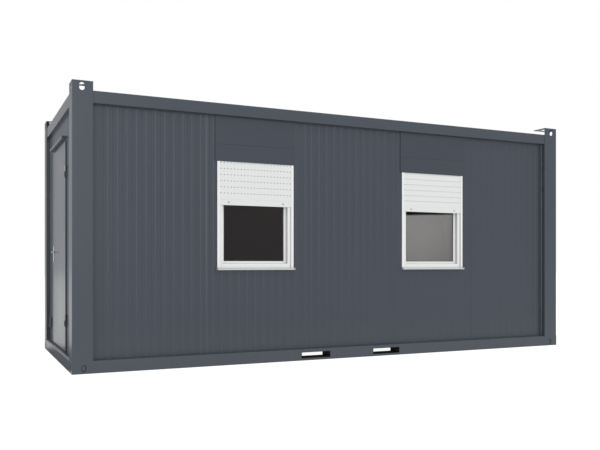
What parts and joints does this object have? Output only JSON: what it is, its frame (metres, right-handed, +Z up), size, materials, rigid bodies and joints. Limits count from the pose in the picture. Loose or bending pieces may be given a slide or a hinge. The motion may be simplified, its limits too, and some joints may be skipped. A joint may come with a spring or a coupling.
{
  "type": "shipping container cabin",
  "caption": "Steel-framed container cabin with corner posts, ribbed panel walls, fork pockets, windows with half-lowered roller shutters and a door in one end.",
  "frame": {"origin": "middle of the footprint, on the ground", "axes": "+Z up, +X along the cabin away from the door end, -Y the side with the windows"},
  "size_m": [6.055, 2.435, 2.8],
  "materials": {
    "frame_paint": "satin dark grey paint",
    "panel_paint": "satin dark grey coating",
    "door_paint": "gloss grey paint",
    "roof_metal": "coated steel roof",
    "lining_board": "matt pale lining",
    "floor_covering": "matt floor covering",
    "window_plastic": "smooth white",
    "shutter_paint": "satin white",
    "sill_metal": "satin",
    "glass": "clear",
    "lever_metal": "bright",
    "hinge_metal": "satin"
  },
  "bodies": {
    "cabin": {"back_panel_1": "panel_paint", "back_panel_2": "panel_paint", "back_panel_3": "panel_paint", "back_panel_4": "panel_paint", "back_panel_5": "panel_paint", "ceiling": "lining_board", "corner_feet": "frame_paint", "corner_linings": "lining_board", "corner_post_back_left": "frame_paint", "corner_post_back_right": "frame_paint", "corner_post_front_left": "frame_paint", "corner_post_front_right": "frame_paint", "corner_top_plates": "frame_paint", "door_canopy": "frame_paint", "door_frame": "panel_paint", "door_hinges_frame_half": "hinge_metal", "floor_deck": "floor_covering", "floor_joists": "frame_paint", "fork_sleeves": "frame_paint", "front_panel_1": "panel_paint", "front_panel_2": "panel_paint", "front_panel_3": "panel_paint", "front_panel_4": "panel_paint", "front_panel_5": "panel_paint", "left_panel_hinge_side": "panel_paint", "left_panel_lock_side": "panel_paint", "left_panel_over_door": "panel_paint", "long_base_rails": "frame_paint", "long_top_rails": "frame_paint", "right_panel_1": "panel_paint", "right_panel_2": "panel_paint", "roof_deck": "roof_metal", "service_box": "panel_paint", "short_base_rails": "frame_paint", "short_top_rails": "frame_paint", "shutter_boxes": "panel_paint", "shutter_curtains": "shutter_paint", "window_frames": "window_plastic", "window_glass": "glass", "window_sashes": "window_plastic", "window_sills": "sill_metal"},
    "door": {"door_leaf": "door_paint", "door_lever_plates": "lever_metal", "door_hinges_leaf_half": "hinge_metal"},
    "lever": {"door_lever": "lever_metal"}
  },
  "joints": [
    {"name": "door_swing", "type": "hinge", "parent": "cabin", "child": "door", "pos_m": [-2.9935, -0.4525, 1.2], "axis": [0, 0, 1], "range_deg": [0, 110]},
    {"name": "lever_turn", "type": "hinge", "parent": "door", "child": "lever", "pos_m": [-2.9675, 0.5475, 1.186], "axis": [1, 0, 0], "range_deg": [0, 40], "stiffness_Nm_per_rad": 1.2, "springref_deg": -28.65}
  ]
}
